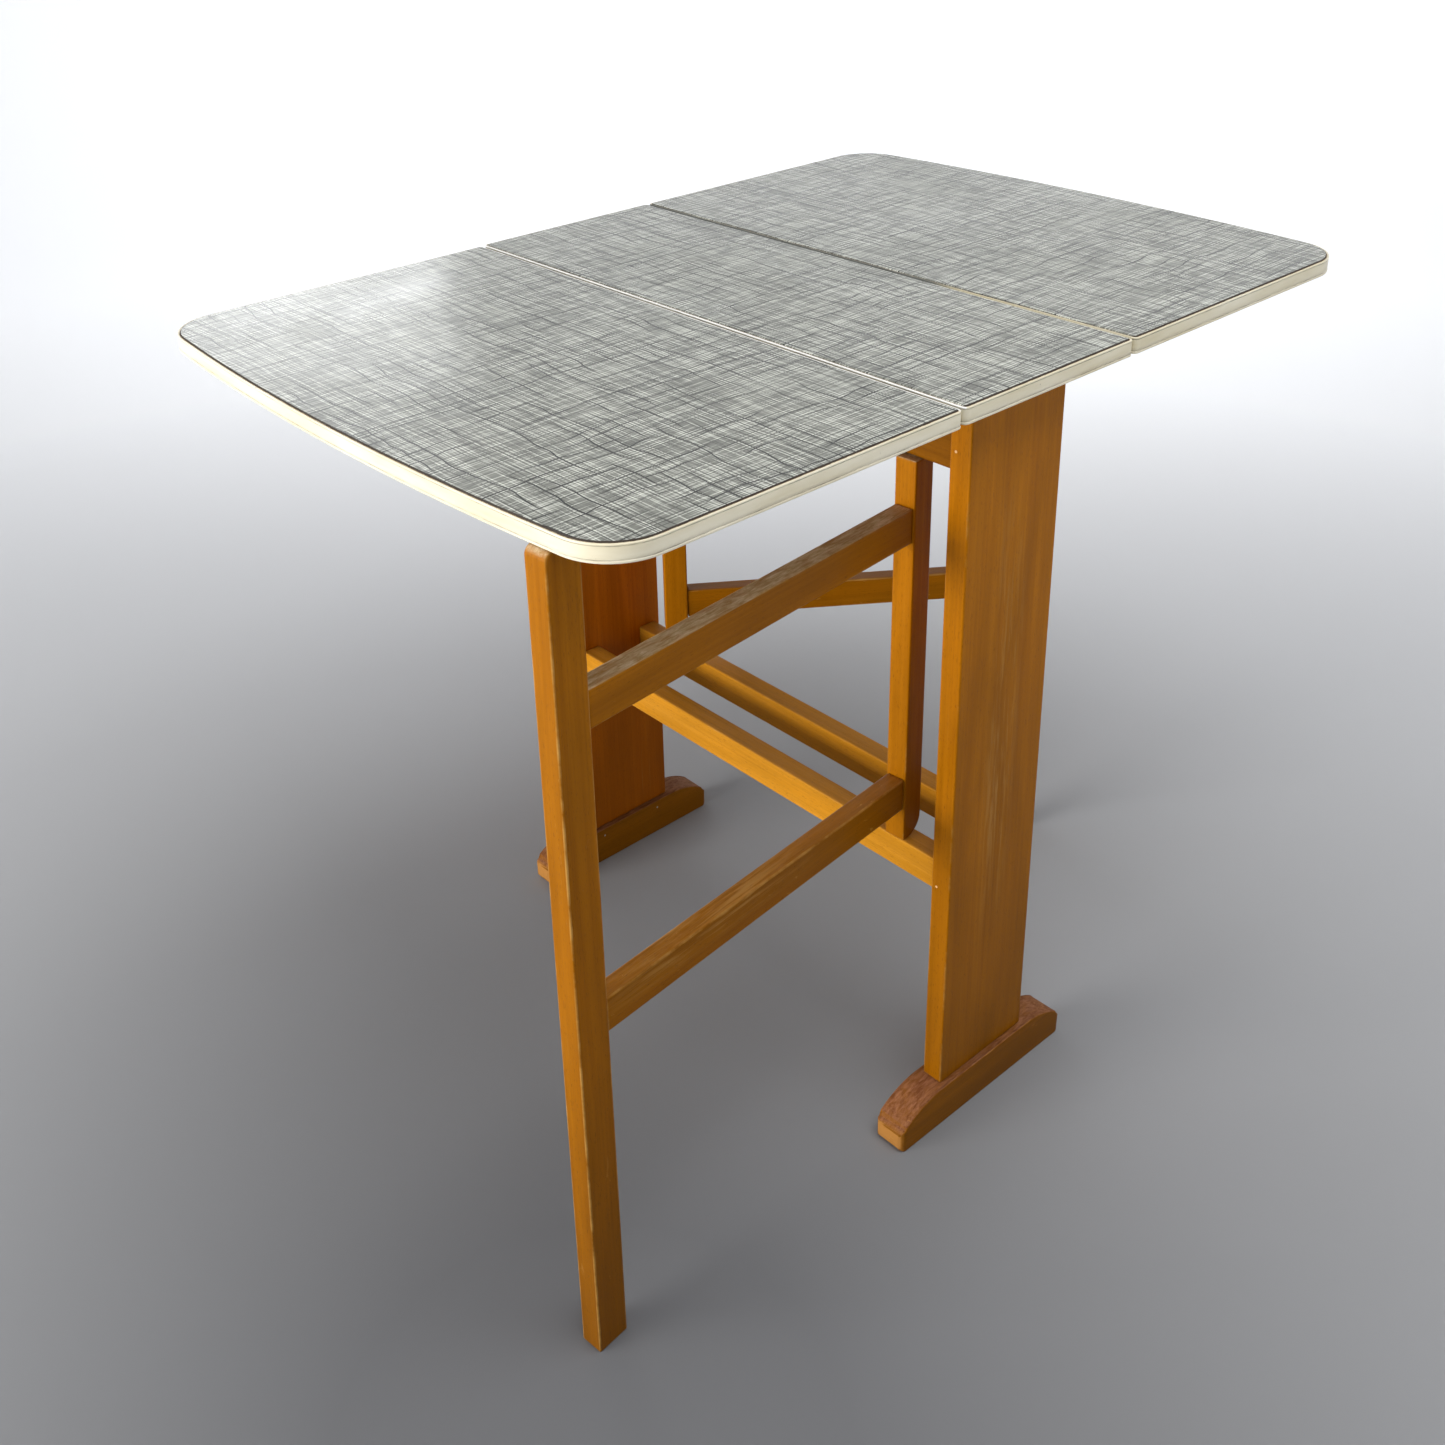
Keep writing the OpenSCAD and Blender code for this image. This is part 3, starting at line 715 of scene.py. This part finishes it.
def buildThreadGroup():
    # separate wavy threads that run along X of the vector and fade in and out
    tree, inputs, outputs = startGroup(
        "printedThreads",
        [("Vector", "NodeSocketVector", None), ("Spacing", "NodeSocketFloat", 0.0024),
         ("Width", "NodeSocketFloat", 0.001), ("Run", "NodeSocketFloat", 0.04),
         ("Low", "NodeSocketFloat", 0.45), ("High", "NodeSocketFloat", 0.6),
         ("Wander", "NodeSocketFloat", 0.001), ("Seed", "NodeSocketFloat", 0.0)],
        [("Mask", "NodeSocketFloat")])
    given = inputs.outputs
    parts = tree.nodes.new("ShaderNodeSeparateXYZ")
    tree.links.new(given["Vector"], parts.inputs[0])
    drift = tree.nodes.new("ShaderNodeCombineXYZ")
    tree.links.new(mathNode(tree, "MULTIPLY", parts.outputs["X"], 12), drift.inputs["X"])
    tree.links.new(mathNode(tree, "MULTIPLY", parts.outputs["Y"], 9), drift.inputs["Y"])
    tree.links.new(given["Seed"], drift.inputs["Z"])
    bend = addNode(tree, "ShaderNodeTexNoise", {"Scale": 1.0, "Detail": 2.0, "Roughness": 0.55})
    tree.links.new(drift.outputs[0], bend.inputs["Vector"])
    moved = mathNode(tree, "MULTIPLY", mathNode(tree, "SUBTRACT", bend.outputs["Fac"], 0.5),
                     mathNode(tree, "MULTIPLY", given["Wander"], 4))
    lane = mathNode(tree, "DIVIDE", mathNode(tree, "ADD", parts.outputs["Y"], moved), given["Spacing"])
    index = mathNode(tree, "FLOOR", lane)
    random = addNode(tree, "ShaderNodeTexWhiteNoise", noise_dimensions="2D")
    key = tree.nodes.new("ShaderNodeCombineXYZ")
    tree.links.new(index, key.inputs["X"])
    tree.links.new(given["Seed"], key.inputs["Y"])
    tree.links.new(key.outputs[0], random.inputs["Vector"])
    middle = mathNode(tree, "ADD", mathNode(tree, "MULTIPLY", random.outputs["Value"], 0.5), 0.25)
    offset = mathNode(tree, "ABSOLUTE", mathNode(tree, "SUBTRACT", mathNode(tree, "FRACT", lane), middle))
    offset = mathNode(tree, "MULTIPLY", offset, given["Spacing"])
    half = mathNode(tree, "MULTIPLY", given["Width"], 0.5)
    line = mathNode(tree, "SUBTRACT", 1.0, mathNode(tree, "DIVIDE", offset, half), clamp=True)
    line = mathNode(tree, "MULTIPLY", line, 2.2, clamp=True)
    place = tree.nodes.new("ShaderNodeCombineXYZ")
    tree.links.new(mathNode(tree, "DIVIDE", parts.outputs["X"], given["Run"]), place.inputs["X"])
    tree.links.new(mathNode(tree, "MULTIPLY", index, 5.37), place.inputs["Y"])
    tree.links.new(given["Seed"], place.inputs["Z"])
    life = addNode(tree, "ShaderNodeTexNoise", {"Scale": 1.0, "Detail": 1.0, "Roughness": 0.5})
    tree.links.new(place.outputs[0], life.inputs["Vector"])
    shown = tree.nodes.new("ShaderNodeMapRange")
    tree.links.new(life.outputs["Fac"], shown.inputs["Value"])
    tree.links.new(given["Low"], shown.inputs["From Min"])
    tree.links.new(given["High"], shown.inputs["From Max"])
    tree.links.new(mathNode(tree, "MULTIPLY", line, shown.outputs[0]), outputs.inputs["Mask"])
    return tree


threadGroup = buildThreadGroup()


def threadPair(tree, vectors, values, seed):
    # the same kind of thread both ways
    spacing, width, run, (low, high), wander = values
    masks = []
    for step, vector in enumerate(vectors):
        node = placeGroup(tree, threadGroup, {"Spacing": spacing, "Width": width, "Run": run, "Low": low,
                                              "High": high, "Wander": wander, "Seed": seed + 3.7 * step},
                          {"Vector": vector})
        masks.append(node.outputs["Mask"])
    return masks


def makeLaminateMaterial():
    look = laminateLook
    material, tree, shader = startMaterial("linenLaminate", look["roughness"], specular=0.34)
    vectors = (objectCoords(tree), objectCoords(tree, (0, 0, math.radians(90))))
    pale = threadPair(tree, vectors, look["paleThreads"], 1.3)
    dark = threadPair(tree, vectors, look["darkThreads"], 11.9)
    bold = threadPair(tree, vectors, look["boldThreads"], 25.1)
    patches = [remap(tree, stretchedNoise(tree, v, (8, 85, 1), 3, 0.5, 0, (6, 2, 0)), 0.36, 0.68)
               for v in vectors]
    patch = mathNode(tree, "MULTIPLY", mathNode(tree, "ADD", *patches), 0.5)
    base = mixColour(tree, mathNode(tree, "MULTIPLY", patch, 0.5), look["ground"], look["shade"])
    lift = mathNode(tree, "MULTIPLY", mathNode(tree, "ADD", *pale), 0.55, clamp=True)
    base = mixColour(tree, lift, base, look["pale"])
    for pair, strength, colour in ((dark, 0.75, look["shade"]), (bold, 0.95, look["thread"])):
        threads = mathNode(tree, "MAXIMUM", *pair)
        base = mixColour(tree, mathNode(tree, "MULTIPLY", threads, strength), base, colour)
    tree.links.new(base, shader.inputs["Base Color"])
    smudge = stretchedNoise(tree, vectors[0], (6, 6, 6), 4, 0.6, 0.4, (2, 2, 2))
    tree.links.new(remap(tree, smudge, 0.3, 0.7, look["roughness"] - 0.04, look["roughness"] + 0.10),
                   shader.inputs["Roughness"])
    bumpFrom(tree, shader, stretchedNoise(tree, vectors[0], (300, 300, 300), 2), 0.04, 0.0003)
    return material


def makeLaminateEdgeMaterial():
    material, tree, shader = startMaterial("laminateEdge", 0.7)
    tone = stretchedNoise(tree, objectCoords(tree), (200, 200, 900), 2)
    base = mixColour(tree, tone, laminateLook["edge"], laminateLook["edgeWarm"])
    tree.links.new(base, shader.inputs["Base Color"])
    return material


def makeLaminate(kind, materials):
    node = "centre_laminate" if kind == "centre" else kind + "_leaf_laminate"
    low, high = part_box(node)
    inset = low.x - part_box("centre_edging")[0].x
    bm = sweepRound(kind, [(-inset, low.z), (-inset, high.z)], False)
    rims = [[e for e in bm.edges if e.is_boundary and abs(e.verts[0].co.z - z) < 0.01 * mm
             and abs(e.verts[1].co.z - z) < 0.01 * mm] for z in (low.z, high.z)]
    for rim in rims:
        bmesh.ops.contextual_create(bm, geom=rim)
    bmesh.ops.recalc_face_normals(bm, faces=bm.faces)
    bmesh.ops.bevel(bm, geom=rims[1], offset=laminateLook["edgeBevel"], offset_type="OFFSET", affect="EDGES",
                    segments=2, profile=0.5, material=-1, clamp_overlap=True)
    bmesh.ops.transform(bm, matrix=panelPlace(kind), verts=bm.verts)
    # the dark line round the print doesn't run along the seams
    seamY = joints["far_leaf_lift"]["pos_m"][1]
    for face in bm.faces:
        alongSeam = abs(abs(face.calc_center_median().y) - seamY) < 4 * mm and abs(face.normal.x) < 0.1
        face.material_index = 0 if face.normal.z > 0.99 or alongSeam else 1
    body = "trestle" if kind == "centre" else kind + "_leaf"
    return newPiece(kind + "Laminate", bm, body, [node], materials, 12)


edgingMaterial = makeEdgingMaterial()
laminateMaterials = [makeLaminateMaterial(), makeLaminateEdgeMaterial()]
for kind in ("centre", "near", "far"):
    makeEdging(kind, edgingMaterial)
    makeLaminate(kind, laminateMaterials)
print("top made")


# core boards, blocks and metalwork keep their CAD shapes

boardLook = {"light": (0.50, 0.36, 0.22), "dark": (0.24, 0.15, 0.08), "pale": (0.66, 0.54, 0.38)}


def makeCoreMaterial():
    look = boardLook
    material, tree, shader = startMaterial("chipboard", 0.75)
    vector = objectCoords(tree)
    chips = addNode(tree, "ShaderNodeTexVoronoi", {"Scale": 1.0, "Randomness": 1.0})
    scaled = addNode(tree, "ShaderNodeVectorMath", operation="MULTIPLY")
    scaled.inputs[1].default_value = (420, 260, 420)
    tree.links.new(vector, scaled.inputs[0])
    tree.links.new(scaled.outputs[0], chips.inputs["Vector"])
    tint = tree.nodes.new("ShaderNodeSeparateColor")
    tree.links.new(chips.outputs["Color"], tint.inputs[0])
    base = mixColour(tree, tint.outputs[0], look["dark"], look["light"])
    base = mixColour(tree, remap(tree, tint.outputs[1], 0.75, 0.95), base, look["pale"])
    stain = stretchedNoise(tree, vector, (4, 4, 4), 4, 0.6, 0.5)
    base = mixColour(tree, remap(tree, stain, 0.45, 0.75, 0.0, 0.35), base, look["dark"])
    tree.links.new(base, shader.inputs["Base Color"])
    bumpFrom(tree, shader, tint.outputs[0], 0.25, 0.0004)
    return material


def makeSteelMaterial(name, tone, dull, rough):
    material, tree, shader = startMaterial(name, rough, metallic=1.0)
    vector = objectCoords(tree)
    cloud = stretchedNoise(tree, vector, (60, 60, 60), 4, 0.65)
    brushed = stretchedNoise(tree, vector, (60, 1400, 1400), 2, 0.6, 0, (3, 3, 3))
    spots = remap(tree, stretchedNoise(tree, vector, (240, 240, 240), 4, 0.7, 0, (5, 1, 1)), 0.60, 0.70)
    base = mixColour(tree, remap(tree, cloud, 0.35, 0.65), tone, dull)
    base = mixColour(tree, mathNode(tree, "MULTIPLY", spots, 0.4), base, (0.16, 0.09, 0.05))
    tree.links.new(base, shader.inputs["Base Color"])
    tree.links.new(remap(tree, mathNode(tree, "ADD", brushed, spots), 0.2, 1.2, rough - 0.08, rough + 0.25),
                   shader.inputs["Roughness"])
    bumpFrom(tree, shader, brushed, 0.15, 0.0002)
    return material


puttyLook = {"pale": (0.86, 0.56, 0.27), "brown": (0.66, 0.38, 0.15)}


def makePuttyMaterial():
    # the heads of the board pins are stopped with pale wood filler
    material, tree, shader = startMaterial("puttyStopping", 0.6, specular=0.3)
    cloud = stretchedNoise(tree, objectCoords(tree), (700, 700, 700), 3, 0.6)
    base = mixColour(tree, cloud, puttyLook["pale"], puttyLook["brown"])
    tree.links.new(base, shader.inputs["Base Color"])
    bumpFrom(tree, shader, cloud, 0.2, 0.0002)
    return material


# bright tone, dull tone and roughness
steelLook = {"hinge": ((0.62, 0.60, 0.55), (0.40, 0.38, 0.34), 0.38),
             "pin": ((0.72, 0.66, 0.55), (0.48, 0.42, 0.34), 0.45)}

dress(["centre_core", "near_leaf_core", "far_leaf_core"], makeCoreMaterial())
dress(["fixing_blocks"], beech["blocks"])
hingeSteel = makeSteelMaterial("hingeSteel", *steelLook["hinge"])
pinSteel = makeSteelMaterial("pinSteel", *steelLook["pin"])
for side in ("near", "far"):
    dress([side + part for part in ("_fixed_plates", "_moving_plates", "_hinge_pins", "_fixed_screws",
                                    "_moving_screws")], hingeSteel)
    dress([side + "_gate_pivots"], pinSteel)
dress(["block_screws", "foot_pins"], pinSteel)
dress(["board_pins"], makePuttyMaterial())
print("metalwork dressed")


# studio: a round sweep of floor and wall, soft lights, the camera

studioLook = {
    "flatRadius": 3.3, "curve": 1.5, "wallTop": 3.6, "steps": 96,
    "floor": (0.163, 0.167, 0.176), "wall": (0.86, 0.87, 0.89), "paintedShadeSpot": (0.30, -0.50),
    "wallGlow": 0.26,
    "world": (0.95, 0.97, 1.0), "worldStrength": 0.12,
}


def makeStudio():
    look = studioLook
    bm = bmesh.new()
    centreVert = bm.verts.new((0, 0, 0))
    rim = bm.verts.new((look["flatRadius"], 0, 0))
    edges = [bm.edges.new((centreVert, rim))]
    bend = bmesh.ops.spin(bm, geom=[rim], cent=(look["flatRadius"], 0, look["curve"]), axis=(0, -1, 0),
                          angle=math.radians(90), steps=14, use_merge=False)
    last = [g for g in bend["geom_last"] if isinstance(g, bmesh.types.BMVert)]
    lifted = bmesh.ops.extrude_vert_indiv(bm, verts=last)["verts"]
    bmesh.ops.translate(bm, vec=(0, 0, look["wallTop"] - look["curve"]), verts=lifted)
    bmesh.ops.spin(bm, geom=bm.verts[:] + bm.edges[:], cent=(0, 0, 0), axis=(0, 0, 1),
                   angle=math.radians(360), steps=look["steps"], use_merge=True)
    bmesh.ops.remove_doubles(bm, verts=bm.verts, dist=0.0005)
    bmesh.ops.recalc_face_normals(bm, faces=bm.faces)
    mesh = bpy.data.meshes.new("studioSweep")
    bm.to_mesh(mesh)
    bm.free()
    mesh.shade_smooth()
    sweep = bpy.data.objects.new("studioSweep", mesh)
    bpy.context.scene.collection.objects.link(sweep)
    material, tree, shader = startMaterial("studioPaint", 0.8, specular=0.2)
    parts = tree.nodes.new("ShaderNodeSeparateXYZ")
    coords = tree.nodes.new("ShaderNodeTexCoord")
    tree.links.new(coords.outputs["Object"], parts.inputs[0])
    # painted shade: the floor is painted darker round a spot in front of the table and paler towards the
    # wall, and its glow rises with distance from that spot
    away = [mathNode(tree, "POWER", mathNode(tree, "SUBTRACT", parts.outputs[axis], centre), 2.0)
            for axis, centre in zip("XY", look["paintedShadeSpot"])]
    away = mathNode(tree, "SQRT", mathNode(tree, "ADD", *away))
    tree.links.new(mixColour(tree, remap(tree, away, 0.2, 2.4), look["floor"], look["wall"]),
                   shader.inputs["Base Color"])
    shader.inputs["Emission Color"].default_value = (*look["wall"], 1)
    tree.links.new(remap(tree, away, 1.2, 3.2, 0.0, look["wallGlow"]), shader.inputs["Emission Strength"])
    mesh.materials.append(material)


def addSoftbox(name, spot, aim, width, height, power, colour, spread):
    light = bpy.data.lights.new(name, "AREA")
    light.shape = "RECTANGLE"
    light.size, light.size_y = width, height
    light.energy = power
    light.spread = math.radians(spread)
    light.color = colour
    lamp = bpy.data.objects.new(name, light)
    bpy.context.scene.collection.objects.link(lamp)
    lamp.location = spot
    lamp.rotation_mode = "QUATERNION"
    lamp.rotation_quaternion = (Vector(aim) - Vector(spot)).to_track_quat("-Z", "Y")
    lamp.visible_camera = False


# where each light stands and aims, its width and height, power, colour and spread in degrees
lightLook = {
    "keyFront": ((-0.75, -3.00, 0.70), (0, 0, 0.50), 1.9, 1.1, 24, (1.0, 0.98, 0.95), 80),
    "windowGlow": ((-2.03, 0.48, 1.36), (-0.27, -0.36, 0.74), 0.78, 0.46, 1.45, (0.97, 0.99, 1.0), 120),
    "topFill": ((0.8, -0.1, 2.8), (0, 0, 0.3), 1.8, 1.8, 30, (1.0, 1.0, 1.0), 140),
    "wallWash": ((-1.20, 1.05, 2.60), (-3.2, 2.8, 0.2), 2.4, 1.2, 40, (1.0, 1.0, 1.0), 130),
}


def lightStudio():
    for name, settings in lightLook.items():
        addSoftbox(name, *settings)
    world = bpy.data.worlds.new("studioWorld")
    bpy.context.scene.world = world
    world.use_nodes = True
    background = world.node_tree.nodes["Background"]
    background.inputs["Color"].default_value = (*studioLook["world"], 1)
    background.inputs["Strength"].default_value = studioLook["worldStrength"]


cameraLook = {
    "spot": (1.0089, -0.9824, 1.1954), "yaw": 48.89, "pitch": -24.48, "roll": -1.54,
    "lens": 40.87, "shiftX": 0.0185, "shiftY": -0.1664,
}


def makeCamera():
    look = cameraLook
    data = bpy.data.cameras.new("studioCamera")
    data.lens = look["lens"]
    data.sensor_width = 36
    data.shift_x = look["shiftX"]
    data.shift_y = look["shiftY"]
    camera = bpy.data.objects.new("studioCamera", data)
    bpy.context.scene.collection.objects.link(camera)
    turn = Matrix.Rotation(math.radians(look["yaw"]), 4, "Z")
    tilt = Matrix.Rotation(math.radians(90 + look["pitch"]), 4, "X")
    roll = Matrix.Rotation(math.radians(look["roll"]), 4, "Z")
    camera.matrix_world = Matrix.Translation(look["spot"]) @ turn @ tilt @ roll
    bpy.context.scene.camera = camera


makeStudio()
lightStudio()
makeCamera()
bpy.context.scene.view_settings.view_transform = "Standard"
print("studio ready")
